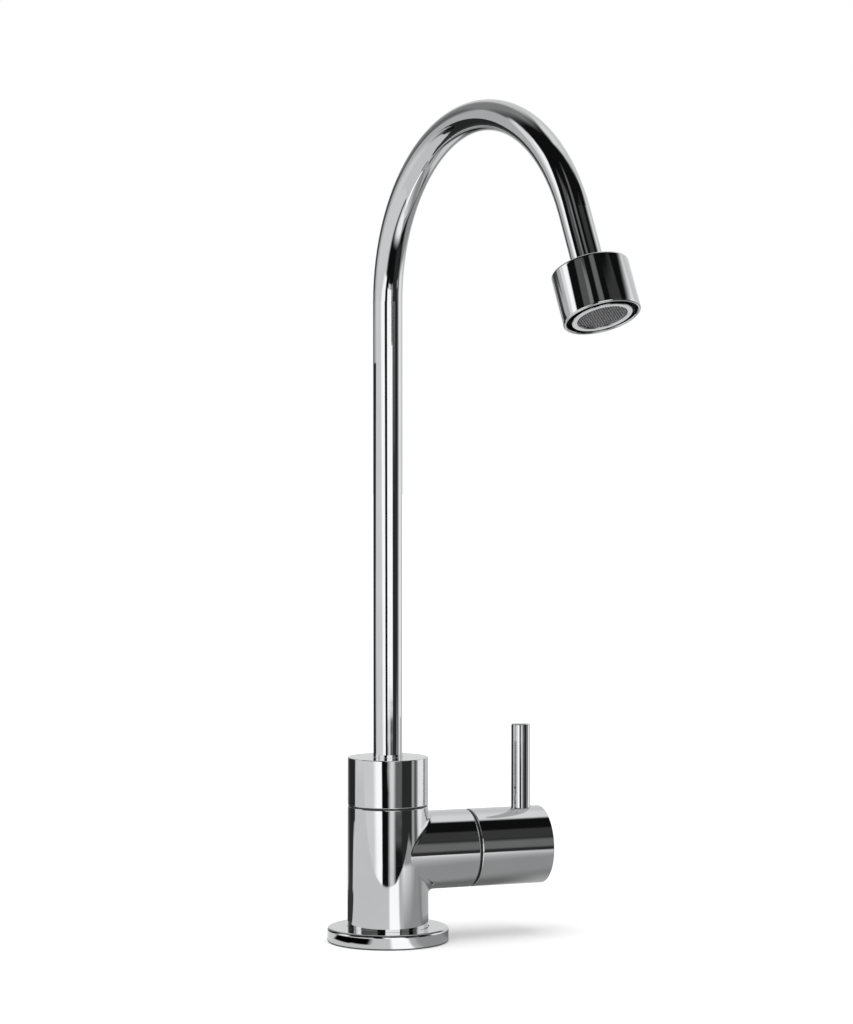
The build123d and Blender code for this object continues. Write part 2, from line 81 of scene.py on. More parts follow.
class ShaderGraph:
    """The node tree of a material or of the world, while it is under construction."""

    def __init__(self, holder: Material | bpy.types.World) -> None:
        """Take over a node tree and empty it.

        Args:
            holder: The material or world that the tree belongs to.
        """
        holder.use_nodes = True
        self.holder = holder
        self.tree = holder.node_tree
        self.tree.nodes.clear()

    def put(self, value: Value, socket: Socket) -> None:
        """Give a socket its value.

        Args:
            value: A number, colour or vector, or another socket to link.
            socket: The socket that takes it.
        """
        if isinstance(value, Socket):
            self.tree.links.new(value, socket)
        elif socket.type == "RGBA":
            socket.default_value = (*value, 1.0)
        else:
            socket.default_value = value

    def node(
        self, kind: str, inputs: Mapping[str, Value] | None = None, **settings: object
    ) -> bpy.types.Node:
        """Add one node.

        Args:
            kind: Blender's name for the node's class.
            inputs: Values for its sockets, by the sockets' names.
            **settings: Properties to set on the node.

        Returns:
            The new node.
        """
        made = self.tree.nodes.new(kind)
        for name, value in settings.items():
            setattr(made, name, value)
        for name, value in (inputs or {}).items():
            self.put(value, made.inputs[name])
        return made

    def fed(self, kind: str, *values: Value, **settings: object) -> Socket:
        """Add a node that takes its values in the order of its sockets.

        Args:
            kind: Blender's name for the node's class.
            *values: Values for its first sockets.
            **settings: Properties to set on the node.

        Returns:
            The node's first output.
        """
        made = self.node(kind, **settings)
        for value, socket in zip(values, made.inputs):
            self.put(value, socket)
        return made.outputs[0]

    def math(self, operation: str, *values: Value) -> Socket:
        """One step of arithmetic on up to three numbers or sockets."""
        return self.fed("ShaderNodeMath", *values, operation=operation)

    def either(self, factor: Value, first: Socket, second: Socket) -> Socket:
        """A mix of two shaders, the first at 0 and the second at 1."""
        return self.fed("ShaderNodeMixShader", factor, first, second)

    def blend(self, factor: Value, first: Value, second: Value) -> Socket:
        """A number between two others, the first at 0 and the second at 1."""
        inputs = {"Factor": factor, "A": first, "B": second}
        return self.node("ShaderNodeMix", inputs, data_type="FLOAT").outputs["Result"]

    def tint(self, factor: Value, first: Value, second: Value) -> Socket:
        """A colour between two others.

        Args:
            factor: 0 for the first colour and 1 for the second.
            first: A colour or its socket.
            second: A colour or its socket.

        Returns:
            The mixed colour's socket.
        """
        made = self.node("ShaderNodeMix", {"Factor": factor}, data_type="RGBA")
        sockets = [socket for socket in made.inputs if socket.type == "RGBA"]
        for colour, socket in zip((first, second), sockets):
            self.put(colour, socket)
        return next(socket for socket in made.outputs if socket.type == "RGBA")

    def rise(self, value: Value, start: float, end: float) -> Socket:
        """A smooth step from 0 at start to 1 at end, where start may be the larger."""
        inputs = {"Value": value, "From Min": start, "From Max": end}
        return self.node("ShaderNodeMapRange", inputs, interpolation_type="SMOOTHSTEP").outputs["Result"]

    def spread(self, value: Value, low: float, high: float) -> Socket:
        """A value between 0 and 1, stretched over another range."""
        inputs = {"Value": value, "To Min": low, "To Max": high}
        return self.node("ShaderNodeMapRange", inputs).outputs["Result"]

    def between(self, value: Socket, span: Span, feather: float) -> Socket:
        """How far a value lies between two limits.

        Args:
            value: The value.
            span: The lower and the upper limit.
            feather: Width of the soft edges.

        Returns:
            1 between the limits and 0 outside them.
        """
        soft = feather / 2
        above = self.rise(value, span[0] - soft, span[0] + soft)
        below = self.rise(value, span[1] + soft, span[1] - soft)
        return self.math("MULTIPLY", above, below)

    def within(self, bearing: Socket, span: Span, feather: float) -> Socket:
        """How far a bearing lies inside a span that may pass behind the tap.

        Args:
            bearing: The bearing in degrees.
            span: Where the span starts and ends, in degrees.
            feather: Width of its soft edges, in degrees.

        Returns:
            1 inside the span and 0 outside it.
        """
        middle, half = (span[0] + span[1]) / 2, (span[1] - span[0]) / 2
        offset = self.math("SUBTRACT", bearing, middle)
        offset = self.math("ABSOLUTE", self.math("WRAP", offset, 180.0, -180.0))
        return self.rise(offset, half + feather / 2, half - feather / 2)

    def split(self, vector: Socket) -> tuple[Socket, ...]:
        """The X, Y and Z of a vector."""
        return tuple(self.node("ShaderNodeSeparateXYZ", {"Vector": vector}).outputs)

    def length(self, across: Socket, along: Socket) -> Socket:
        """Length of a line by its two parts at right angles."""
        square = self.math("MULTIPLY", across, across)
        return self.math("SQRT", self.math("MULTIPLY_ADD", along, along, square))

    def noise(
        self, place: Value, scale: float, detail: float = 2.0, spread: Spread = Spread.SPACE
    ) -> Socket:
        """Noise between 0 and 1.

        Args:
            place: Coordinates, or one number for noise along a line.
            scale: Waves to the metre.
            detail: Octaves of finer noise.
            spread: Where the noise varies.

        Returns:
            The noise's socket.
        """
        inputs = {"Scale": scale, "Detail": detail}
        made = self.node("ShaderNodeTexNoise", inputs, noise_dimensions=spread.value)
        self.put(place, made.inputs["W" if spread is Spread.LINE else "Vector"])
        return made.outputs[0]

    def bump(self, height: Value, strength: float, depth: float, under: Socket | None = None) -> Socket:
        """A surface normal from a height.

        Args:
            height: The height, between 0 and 1.
            strength: How much of the bump shows.
            depth: The bump's depth in metres.
            under: A normal that this one is laid over.

        Returns:
            The normal's socket.
        """
        inputs = {"Height": height, "Strength": strength, "Distance": depth}
        made = self.node("ShaderNodeBump", inputs)
        if under:
            self.put(under, made.inputs["Normal"])
        return made.outputs["Normal"]

    def show(self, surface: Socket) -> None:
        """Connect the finished shader to the tree's output."""
        world = isinstance(self.holder, bpy.types.World)
        kind = "ShaderNodeOutputWorld" if world else "ShaderNodeOutputMaterial"
        self.node(kind, {"Surface": surface})


@dataclass(frozen=True)
class TurningAxis:
    """The line that a piece was turned or polished on."""

    name: str
    origin: Vector
    direction: Vector

    def placement(self) -> Matrix:
        """Matrix that takes a shape made round the Z axis to this axis."""
        turn = self.direction.to_track_quat("Z", "Y").to_matrix().to_4x4()
        return Matrix.Translation(self.origin) @ turn

    def coordinates(self, graph: ShaderGraph) -> Socket:
        """Object coordinates with this axis as their Z.

        Args:
            graph: The material under construction.

        Returns:
            A vector socket in metres.
        """
        inverse = self.placement().inverted()
        inputs = {
            "Vector": graph.node("ShaderNodeTexCoord").outputs["Object"],
            "Location": inverse.to_translation(),
            "Rotation": inverse.to_euler(),
        }
        return graph.node("ShaderNodeMapping", inputs, vector_type="POINT").outputs["Vector"]

    def radius(self, graph: ShaderGraph) -> Socket:
        """Distance from the axis, in metres."""
        across, along, _ = graph.split(self.coordinates(graph))
        return graph.length(across, along)

    def lathe_path(self, graph: ShaderGraph) -> Socket:
        """A number that grows along the axis and outwards, so tool marks form rings."""
        across, along, height = graph.split(self.coordinates(graph))
        return graph.math("ADD", graph.length(across, along), height)


@dataclass(frozen=True)
class Finish:
    """A finish: how one material slot's surface looks wherever it is used."""

    name: str
    colour: Colour
    roughness: float
    metallic: float = 0.0
    smoothest: float = 1.0
    roughest: float = 1.0

    def build(self, axis: TurningAxis) -> Material:
        """Make the material for pieces on one axis.

        Args:
            axis: The axis that the pieces were turned on.

        Returns:
            The new material.
        """
        material = bpy.data.materials.new(f"{self.name}_{axis.name}")
        graph = ShaderGraph(material)
        plain = {"Base Color": self.colour, "Roughness": self.roughness, "Metallic": self.metallic}
        shader = graph.node("ShaderNodeBsdfPrincipled", plain)
        patterned = ("Base Color", "Roughness", "Normal")
        for name, socket in zip(patterned, self.pattern(graph, axis)):
            graph.put(socket, shader.inputs[name])
        graph.show(shader.outputs[0])
        return material

    def pattern(self, graph: ShaderGraph, axis: TurningAxis) -> tuple[Socket, Socket, Socket]:
        """Work out how this finish varies over a piece.

        Args:
            graph: The material under construction.
            axis: The axis that the pieces were turned on.

        Returns:
            The colour, the roughness and the surface normal.
        """
        raise NotImplementedError

    def uneven(self, graph: ShaderGraph, pattern: Socket) -> Socket:
        """The roughness, times its smoothest where a pattern is 0 and its roughest at 1."""
        limits = self.roughness * self.smoothest, self.roughness * self.roughest
        return graph.spread(pattern, *limits)


@dataclass(frozen=True)
class PolishedChrome(Finish):
    """Bright chrome over polished brass, with faint clouds and the buffing wheel's rings.

    Where the inner radius is set, the plating ends inside it and a dark colour shows: partly bare metal, partly
    painted shade of the mouth's recess.
    """

    metallic: float = 1.0
    roughest: float = 2.25
    shaded: Colour = (0.585, 0.59, 0.6)
    cloud_scale: float = 60.0
    ring_scale: float = 2600.0
    ring_show: float = 0.02
    ring_depth: float = 0.00002
    wave_scale: float = 85.0
    wave_depth: float = 0.00003
    # The dark inner colour is partly bare metal and partly painted shade of the recess.
    bare_and_shade_radius: float = 0.0
    bare_and_shade_fade: float = 0.99
    bare_metal_and_shade: Colour = (0.09, 0.09, 0.095)
    bare_roughness: float = 0.2

    def pattern(self, graph: ShaderGraph, axis: TurningAxis) -> tuple[Socket, Socket, Socket]:
        """Vary tone and gloss a little, and let the polish wave very slightly.

        Args:
            graph: The material under construction.
            axis: The axis that the pieces were polished on.

        Returns:
            The colour, the roughness and the surface normal.
        """
        place = axis.coordinates(graph)
        clouds = graph.noise(place, self.cloud_scale)
        rings = graph.noise(axis.lathe_path(graph), self.ring_scale, spread=Spread.LINE)
        tone = graph.tint(clouds, self.shaded, self.colour)
        rough = self.uneven(graph, graph.math("MULTIPLY", clouds, rings))
        # Painted shade: inside the radius the colour turns dark, partly as bare metal, partly standing in for the
        # recess's shade.
        if self.bare_and_shade_radius:
            edge = self.bare_and_shade_radius
            inside = graph.rise(axis.radius(graph), edge, edge * self.bare_and_shade_fade)
            tone = graph.tint(inside, tone, self.bare_metal_and_shade)
            rough = graph.blend(inside, rough, self.bare_roughness)
        waves = graph.noise(place, self.wave_scale, detail=1.0)
        waved = graph.bump(waves, 1.0, self.wave_depth)
        return tone, rough, graph.bump(rings, self.ring_show, self.ring_depth, waved)


@dataclass(frozen=True)
class TurnedMetal(Finish):
    """Bare metal straight off the lathe: fine tool rings, with a tarnished tone."""

    metallic: float = 1.0
    smoothest: float = 0.7
    roughest: float = 1.5
    tarnish: Colour = (0.5, 0.5, 0.5)
    patch_scale: float = 110.0
    ring_scale: float = 3600.0
    ring_show: float = 0.5
    ring_depth: float = 0.00004

    def pattern(self, graph: ShaderGraph, axis: TurningAxis) -> tuple[Socket, Socket, Socket]:
        """Cut the rings into the surface and let their tone vary.

        Args:
            graph: The material under construction.
            axis: The axis that the pieces were turned on.

        Returns:
            The colour, the roughness and the surface normal.
        """
        path = axis.lathe_path(graph)
        rings = graph.noise(path, self.ring_scale, detail=3.0, spread=Spread.LINE)
        patches = graph.noise(axis.coordinates(graph), self.patch_scale, detail=4.0)
        tone = graph.tint(patches, self.tarnish, self.colour)
        bumps = graph.bump(rings, self.ring_show, self.ring_depth)
        return tone, self.uneven(graph, rings), bumps


@dataclass(frozen=True)
class MouldedSkin(Finish):
    """A moulded or pressed skin: fine grain, and a slightly uneven tone."""

    smoothest: float = 0.85
    roughest: float = 1.15
    worn: Colour = (0.03, 0.03, 0.03)
    patch_scale: float = 140.0
    grain_scale: float = 5000.0
    grain_show: float = 0.4
    grain_depth: float = 0.00003

    def pattern(self, graph: ShaderGraph, axis: TurningAxis) -> tuple[Socket, Socket, Socket]:
        """Grain the surface and vary its tone and gloss.

        Args:
            graph: The material under construction.
            axis: The axis that the pieces stand on.

        Returns:
            The colour, the roughness and the surface normal.
        """
        place = axis.coordinates(graph)
        grain = graph.noise(place, self.grain_scale, detail=3.0)
        patches = graph.noise(place, self.patch_scale, detail=3.0)
        tone = graph.tint(patches, self.colour, self.worn)
        bumps = graph.bump(grain, self.grain_show, self.grain_depth)
        return tone, self.uneven(graph, patches), bumps


class FinishBook:
    """The finishes by name, each built once for each turning axis."""

    def __init__(self) -> None:
        """Write down every finish: one for each slot, the mouth with its painted shade, and the wire cloth."""
        chrome = PolishedChrome("chrome_plate", (0.66, 0.665, 0.67), roughness=0.02)
        bare_and_shade_radius = OutletShell.mouth_radius + OutletShell.hold
        finishes = (
            chrome,
            # The mouth's finish goes dark inside: partly bare metal, partly painted shade.
            replace(chrome, name="plated_mouth_and_painted_shade", bare_and_shade_radius=bare_and_shade_radius),
            TurnedMetal("raw_brass", (0.78, 0.56, 0.24), roughness=0.24, tarnish=(0.6, 0.4, 0.17)),
            TurnedMetal(
                "stainless_steel", (0.6, 0.595, 0.585), roughness=0.3, tarnish=(0.48, 0.475, 0.465)
            ),
            TurnedMetal("wire_cloth", (0.5, 0.5, 0.51), roughness=0.32, tarnish=(0.3, 0.3, 0.31)),
            MouldedSkin("black_rubber", (0.02, 0.02, 0.02), roughness=0.62),
            MouldedSkin(
                "black_acetal", (0.025, 0.025, 0.026), roughness=0.38, worn=(0.04, 0.04, 0.042)
            ),
            MouldedSkin("white_acetal", (0.82, 0.81, 0.78), roughness=0.34, worn=(0.76, 0.75, 0.72)),
            MouldedSkin(
                "white_ceramic",
                (0.85, 0.84, 0.81),
                roughness=0.16,
                worn=(0.8, 0.79, 0.75),
                grain_scale=9000.0,
                grain_depth=0.000005,
            ),
        )
        rows = frame["record"]["subparts"]
        self.finishes: dict[str, Finish] = {finish.name: finish for finish in finishes}
        self.slots: dict[str, str] = {row["node"]: row["material_slot"] for row in rows}
        self.built: dict[tuple[str, str], Material] = {}

    def material(self, name: str, axis: TurningAxis) -> Material:
        """The material of a finish for one axis.

        Args:
            name: The finish's name, which is a slot of the record for most.
            axis: The axis that the piece was turned on.

        Returns:
            The material, made when it is first asked for.
        """
        key = (name, axis.name)
        if key not in self.built:
            self.built[key] = self.finishes[name].build(axis)
        return self.built[key]

    def dress(self, nodes: Sequence[str], axis: TurningAxis) -> None:
        """Give CAD nodes the finishes of their own slots.

        Args:
            nodes: The nodes' names.
            axis: The axis that they were turned on.
        """
        for node in nodes:
            finish = self.material(self.slots[node], axis)
            for place in frame["nodes"][node].material_slots:
                place.material = finish
            LOG.info("%s: %s", node, finish.name)


class ShapeMaker:
    """Meshes made with bmesh operators round the Z axis, then put on their own axis."""

    @staticmethod
    def spun(mesh: Shape, outline: Sequence[Corner], lift: float = 0.0) -> None:
        """Spin an outline once round the Z axis.

        Args:
            mesh: The mesh that takes the shape.
            outline: Corners of the outline as radius and height.
            lift: How far a thread climbs in the turn. At 0 the outline is closed.
        """
        corners = [mesh.verts.new((radius, 0.0, height)) for radius, height in outline]
        followers = corners[1:] if lift else corners[1:] + corners[:1]
        sides = [mesh.edges.new(pair) for pair in zip(corners, followers)]
        bmesh.ops.spin(
            mesh,
            geom=corners + sides,
            cent=(0.0, 0.0, 0.0),
            axis=(0.0, 0.0, 1.0),
            dvec=(0.0, 0.0, lift / TURN_STEPS),
            angle=math.tau,
            steps=TURN_STEPS,
            use_merge=not lift,
        )

    @staticmethod
    def quarter(centre: Corner, size: float, start: float) -> list[Corner]:
        """Corners of a quarter round in an outline.

        Args:
            centre: Its centre as radius and height.
            size: Its own radius.
            start: Angle at which it starts, in degrees from straight outwards.

        Returns:
            Corners as radius and height.
        """
        angles = [math.radians(start + 90 * step / ROUND_STEPS) for step in range(ROUND_STEPS + 1)]
        across, up = centre
        return [(across + size * math.cos(turn), up + size * math.sin(turn)) for turn in angles]

    @staticmethod
    def join(mesh: Shape, part: Shape) -> None:
        """Move everything in one mesh into another.

        Args:
            mesh: The mesh that takes the part.
            part: The mesh that is used up.
        """
        carried = bpy.data.meshes.new("carried")
        part.to_mesh(carried)
        part.free()
        mesh.from_mesh(carried)
        bpy.data.meshes.remove(carried)

    @staticmethod
    def link(data: bpy.types.ID, name: str) -> Thing:
        """Put a mesh, lamp or camera in the scene as an object at the origin.

        Args:
            data: The mesh, lamp or camera.
            name: The object's name.

        Returns:
            The new object.
        """
        made = bpy.data.objects.new(name, data)
        bpy.context.scene.collection.objects.link(made)
        return made

    @staticmethod
    def finished(mesh: Shape, name: str, material: Material) -> Thing:
        """Turn a finished mesh into an object.

        Args:
            mesh: The mesh, which is used up.
            name: The object's name.
            material: The object's material.

        Returns:
            The new object, at the origin.
        """
        data = bpy.data.meshes.new(name)
        mesh.to_mesh(data)
        mesh.free()
        data.materials.append(material)
        LOG.info("%s: %d faces", name, len(data.polygons))
        return ShapeMaker.link(data, name)

    @staticmethod
    def piece(
        mesh: Shape, name: str, axis: TurningAxis, material: Material, smooth_angle: float = 35.0
    ) -> Thing:
        """Make an object of a finished mesh, with its place in the mesh.

        Args:
            mesh: The finished mesh, round the Z axis.
            name: The object's name.
            axis: The axis that the mesh is put on.
            material: The piece's material.
            smooth_angle: Edges flatter than this, in degrees, shade smoothly.

        Returns:
            The new object, at the origin.
        """
        bmesh.ops.transform(mesh, matrix=axis.placement(), verts=mesh.verts[:])
        bmesh.ops.recalc_face_normals(mesh, faces=mesh.faces[:])
        for edge in mesh.edges:
            edge.smooth = edge.calc_face_angle(math.pi) < math.radians(smooth_angle)
        for face in mesh.faces:
            face.smooth = True
        return ShapeMaker.finished(mesh, name, material)

    @staticmethod
    def turning(name: str, outline: Sequence[Corner], axis: TurningAxis, material: Material) -> Thing:
        """Make a whole piece by spinning one outline.

        Args:
            name: The object's name.
            outline: Corners of the outline as radius and height.
            axis: The axis that the piece is put on.
            material: The piece's material.

        Returns:
            The new object, at the origin.
        """
        mesh = bmesh.new()
        ShapeMaker.spun(mesh, outline)
        bmesh.ops.remove_doubles(mesh, verts=mesh.verts[:], dist=WELD)
        return ShapeMaker.piece(mesh, name, axis, material)


@dataclass(frozen=True)
class PipeThread:
    """A parallel pipe thread cut into a tube that is open right through.

    The tooth's corners are given in depths above the root and pitches along the axis.
    """

    radius: float
    pitch: float
    depth: float
    low: float
    high: float
    chamfer: float = 0.0009
    tooth: tuple[Corner, ...] = ((0, 0), (0, 0.16), (1, 0.42), (1, 0.58), (0, 0.84))
    lead_turns: int = 2
    weld_share: float = 0.005

    def outline(self) -> list[Corner]:
        """Corners of all teeth in one straight row, some past both ends.

        Returns:
            Corners as radius and height.
        """
        root = self.radius - self.depth
        turns = math.ceil((self.high - self.low) / self.pitch) + 1
        return [
            (root + rise * self.depth, self.low + (number + along) * self.pitch)
            for number in range(-self.lead_turns, turns)
            for rise, along in self.tooth
        ]

    def cut(self, bore: float) -> Shape:
        """Make the threaded tube.

        Args:
            bore: Radius of the hole through it.

        Returns:
            The tube's mesh, closed all round.
        """
        mesh = bmesh.new()
        ShapeMaker.spun(mesh, self.outline(), self.pitch)
        bmesh.ops.remove_doubles(mesh, verts=mesh.verts[:], dist=self.pitch * self.weld_share)
        self.trim(mesh, self.low, -1.0)
        self.trim(mesh, self.high, 1.0)
        self.round_ends(mesh)
        self.close(mesh, bore)
        return mesh

    def trim(self, mesh: Shape, height: float, outward: float) -> None:
        """Cut the thread off square at one end.

        Args:
            mesh: The mesh with the thread.
            height: Where it is cut.
            outward: 1 to cut away what is above, and -1 for what is below.
        """
        bmesh.ops.bisect_plane(
            mesh,
            geom=mesh.verts[:] + mesh.edges[:] + mesh.faces[:],
            plane_co=(0.0, 0.0, height),
            plane_no=(0.0, 0.0, outward),
            clear_outer=True,
        )

    def round_ends(self, mesh: Shape) -> None:
        """Bring the crests down to the root at both ends, as a lead chamfer does.

        Args:
            mesh: The mesh with the trimmed thread.
        """
        for vert in mesh.verts:
            inside = min(vert.co.z - self.low, self.high - vert.co.z)
            limit = self.radius - max(0.0, self.chamfer - inside)
            radius = vert.co.xy.length
            if radius > limit:
                vert.co.xy *= limit / radius

    def close(self, mesh: Shape, bore: float) -> None:
        """Join the thread's two ends through the bore.

        Args:
            mesh: The mesh with the trimmed thread.
            bore: Radius of the hole through it.
        """
        rims = []
        for height in (self.low, self.high):
            rim = [
                edge
                for edge in mesh.edges
                if edge.is_boundary and all(abs(v.co.z - height) < WELD for v in edge.verts)
            ]
            ring = bmesh.ops.create_circle(
                mesh,
                radius=bore,
                segments=TURN_STEPS,
                matrix=Matrix.Translation((0.0, 0.0, height)),
            )["verts"]
            inner = list({edge for vert in ring for edge in vert.link_edges})
            bmesh.ops.bridge_loops(mesh, edges=rim + inner)
            rims.append(inner)
        bmesh.ops.bridge_loops(mesh, edges=rims[0] + rims[1])


@dataclass(frozen=True)
class WovenScreen:
    """The outlet's fine wire cloth in its pressed rim."""

    wire_radius: float = 0.00012
    pitch: float = 0.00062
    wire_sides: int = 6
    bends_per_pitch: int = 3
    rim_width: float = 0.0008
    radius: float = 0.0101
    height: float = 0.0006
    rim_round: float = 0.0001
    smooth_angle: float = 80.0

    def wires(self, mesh: Shape, turn: float, phase: float) -> None:
        """Lay one set of parallel wires, each over and under the other set's.

        Args:
            mesh: The mesh that takes the wires.
            turn: Direction of the set, in radians.
            phase: 0 or 1, which swaps over and under.
        """
        rods = bmesh.new()
        reach = self.radius - self.rim_width / 2
        count = math.floor(reach / self.pitch)
        for number in range(-count, count + 1):
            offset = number * self.pitch
            length = 2 * math.sqrt(reach**2 - offset**2)
            place = Matrix.Translation((0.0, offset, 0.0))
            rod = bmesh.ops.create_cone(
                rods,
                cap_ends=True,
                segments=self.wire_sides,
                radius1=self.wire_radius,
                radius2=self.wire_radius,
                depth=length,
                matrix=place @ Matrix.Rotation(math.pi / 2, 4, "Y"),
            )["verts"]
            edges = {edge for vert in rod for edge in vert.link_edges}
            long_edges = [edge for edge in edges if edge.calc_length() > length / 2]
            cuts = round(length / self.pitch * self.bends_per_pitch)
            bmesh.ops.subdivide_edges(rods, edges=long_edges, cuts=cuts)
        for vert in rods.verts:
            row = round(vert.co.y / self.pitch)
            wave = math.pi * (vert.co.x / self.pitch + row + phase)
            vert.co.z += self.wire_radius * math.cos(wave)
        bmesh.ops.transform(rods, matrix=Matrix.Rotation(turn, 4, "Z"), verts=rods.verts[:])
        ShapeMaker.join(mesh, rods)

    def rim(self) -> list[Corner]:
        """Outline of the pressed rim.

        Returns:
            Corners as radius and height.
        """
        half, edge = self.height / 2, self.rim_round
        inner, outer = self.radius - self.rim_width, self.radius
        lower = [
            (inner, -half + edge),
            (inner + edge, -half),
            (outer - edge, -half),
            (outer, -half + edge),
        ]
        return lower + [(radius, -height) for radius, height in reversed(lower)]

    def build(self, axis: TurningAxis, material: Material) -> Thing:
        """Make the screen.

        Args:
            axis: The jet's axis, with its origin in the middle of the screen.
            material: The wire's finish.

        Returns:
            The screen's object.
        """
        mesh = bmesh.new()
        self.wires(mesh, turn=0.0, phase=0.0)
        self.wires(mesh, turn=math.pi / 2, phase=1.0)
        ShapeMaker.spun(mesh, self.rim())
        return ShapeMaker.piece(mesh, "woven_screen", axis, material, self.smooth_angle)


@dataclass(frozen=True)
class FlangeTurning:
    """The base flange, with a rounded rim and a fine groove round the body's foot.

    A narrow flat, hold wide, stands beside each round and keeps its shading clean.
    """

    radius: float = 0.0247
    height: float = 0.006
    top_round: float = 0.0012
    foot_round: float = 0.0007
    bore: float = 0.0105775
    seal_outer: float = 0.0221
    seal_inner: float = 0.0139
    seal_depth: float = 0.002
    groove_outer: float = 0.0169
    groove_inner: float = 0.0161
    groove_depth: float = 0.00045
    groove_slope: float = 0.00012
    hold: float = 0.0001

    def outline(self) -> list[Corner]:
        """Outline of the flange, from the worktop up.

        Returns:
            Corners as radius and height.
        """
        radius, height = self.radius, self.height
        foot, top, hold = self.foot_round, self.top_round, self.hold
        floor, slope = height - self.groove_depth, self.groove_slope
        return [
            (self.bore, 0.0),
            (self.seal_inner, 0.0),
            (self.seal_inner, self.seal_depth),
            (self.seal_outer, self.seal_depth),
            (self.seal_outer, 0.0),
            (radius - foot - hold, 0.0),
            *ShapeMaker.quarter((radius - foot, foot), foot, -90.0),
            (radius, foot + hold),
            (radius, height - top - hold),
            *ShapeMaker.quarter((radius - top, height - top), top, 0.0),
            (radius - top - hold, height),
            (self.groove_outer, height),
            (self.groove_outer - slope, floor),
            (self.groove_inner + slope, floor),
            (self.groove_inner, height),
            (self.bore, height),
        ]


@dataclass(frozen=True)
class OutletShell:
    """The outlet's plated housing, measured back from the mouth, with its lip rolled over.

    A narrow flat, hold wide, stands beside each round and keeps its shading clean.
    """

    radius: float = 0.0146
    length: float = 0.0202
    top_round: float = 0.0011
    lip_round: float = 0.00062
    mouth_radius: float = 0.0133
    mouth_depth: float = 0.0042
    bore_radius: float = 0.01205
    roof: float = 0.006
    tube_radius: float = 0.00605
    tube_insertion: float = 0.004
    waterway: float = 0.005
    hold: float = 0.0001

    def outline(self) -> list[Corner]:
        """Outline of the housing, from the tube's hole round the lip and back inside.

        Returns:
            Corners as radius and height.
        """
        lip, top, hold = self.lip_round, self.top_round, self.hold
        tube_end = self.tube_insertion - self.length
        roof_end = self.roof - self.length
        return [
            (self.tube_radius, -self.length),
            (self.radius - top - hold, -self.length),
            *ShapeMaker.quarter((self.radius - top, top - self.length), top, -90.0),
            (self.radius, -lip - hold),
            *ShapeMaker.quarter((self.radius - lip, -lip), lip, 0.0),
            *ShapeMaker.quarter((self.mouth_radius + lip, -lip), lip, 90.0),
            (self.mouth_radius, -lip - hold),
            (self.mouth_radius, -self.mouth_depth),
            (self.bore_radius, -self.mouth_depth),
            (self.bore_radius, roof_end),
            (self.waterway, roof_end),
            (self.waterway, tube_end),
            (self.tube_radius, tube_end),
        ]


class Axes:
    """The three axes of the tap."""

    def __init__(self) -> None:
        """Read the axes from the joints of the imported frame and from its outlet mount."""
        joints = {joint["name"]: joint for joint in frame["joints"]}
        mounts = {mount["name"]: mount for mount in frame["record"]["mounts"]}
        swivel, turn = joints["spout_swivel"], joints["handle_turn"]
        outlet = mounts["water_outlet"]
        self.upright = TurningAxis("upright", Vector((0, 0, 0)), Vector(swivel["axis"]))
        self.valve = TurningAxis("valve", Vector(turn["pos_m"]), Vector(turn["axis"]))
        self.jet = TurningAxis("jet", Vector(outlet["pos_m"]), Vector(outlet["axis"]))


@dataclass
class SubAssembly:
    """Pieces that move together, listed by the axis that each was turned on."""

    book: FinishBook
    axes: Axes
    upright_nodes: tuple[str, ...] = ()
    valve_nodes: tuple[str, ...] = ()
    jet_nodes: tuple[str, ...] = ()

    def build(self) -> None:
        """Dress the CAD nodes of all three axes."""
        self.book.dress(self.upright_nodes, self.axes.upright)
        self.book.dress(self.valve_nodes, self.axes.valve)
        self.book.dress(self.jet_nodes, self.axes.jet)


@dataclass
class TapBody(SubAssembly):
    """The fixed body: flange, casting, shank and what is screwed into the side arm."""

    bore: float = 0.0045
    shoulder: float = -0.054
    fixing_pitch: float = 0.001814
    fixing_depth: float = 0.00116
    supply_radius: float = 0.008331
    supply_pitch: float = 0.001337
    supply_depth: float = 0.00086
    flange: FlangeTurning = field(default_factory=FlangeTurning)
    upright_nodes: tuple[str, ...] = ("flange_seal", "body_casting", "shank_seal", "swivel_bush")
    valve_nodes: tuple[str, ...] = (
        "cartridge_housing", "cartridge_seal", "seat_seal", "fixed_disc", "glide_ring"
    )

    def threaded_shank(self) -> None:
        """Make the shank with its two threads in place of the plain one."""
        low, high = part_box("inlet_shank")
        fixing = PipeThread(high.x, self.fixing_pitch, self.fixing_depth, self.shoulder, high.z)
        supply = PipeThread(
            self.supply_radius, self.supply_pitch, self.supply_depth, low.z, self.shoulder
        )
        mesh = fixing.cut(self.bore)
        ShapeMaker.join(mesh, supply.cut(self.bore))
        finish = self.book.material("raw_brass", self.axes.upright)
        shank = ShapeMaker.piece(mesh, "threaded_shank", self.axes.upright, finish)
        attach(shank, "tap_body")
        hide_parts("inlet_shank")

    def rounded_flange(self) -> None:
        """Make the flange with its rounded rim in place of the plain one."""
        outline = self.flange.outline()
        finish = self.book.material("chrome_plate", self.axes.upright)
        flange = ShapeMaker.turning("rounded_flange", outline, self.axes.upright, finish)
        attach(flange, "tap_body")
        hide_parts("base_flange")

    def build(self) -> None:
        """Dress the body's nodes, and add its flange and its threaded shank."""
        super().build()
        self.rounded_flange()
        self.threaded_shank()


@dataclass
class FixingSet(SubAssembly):
    """Washers and nut under the worktop."""

    upright_nodes: tuple[str, ...] = ("worktop_seal", "clamp_washer", "backnut")


@dataclass
class Handle(SubAssembly):
    """The handle with its lever, and the stem and disc that turn with it."""

    upright_nodes: tuple[str, ...] = ("handle_lever",)
    valve_nodes: tuple[str, ...] = (
        "handle_barrel", "handle_grub_screw", "cartridge_stem", "moving_disc", "stem_seals", "stem_clip"
    )


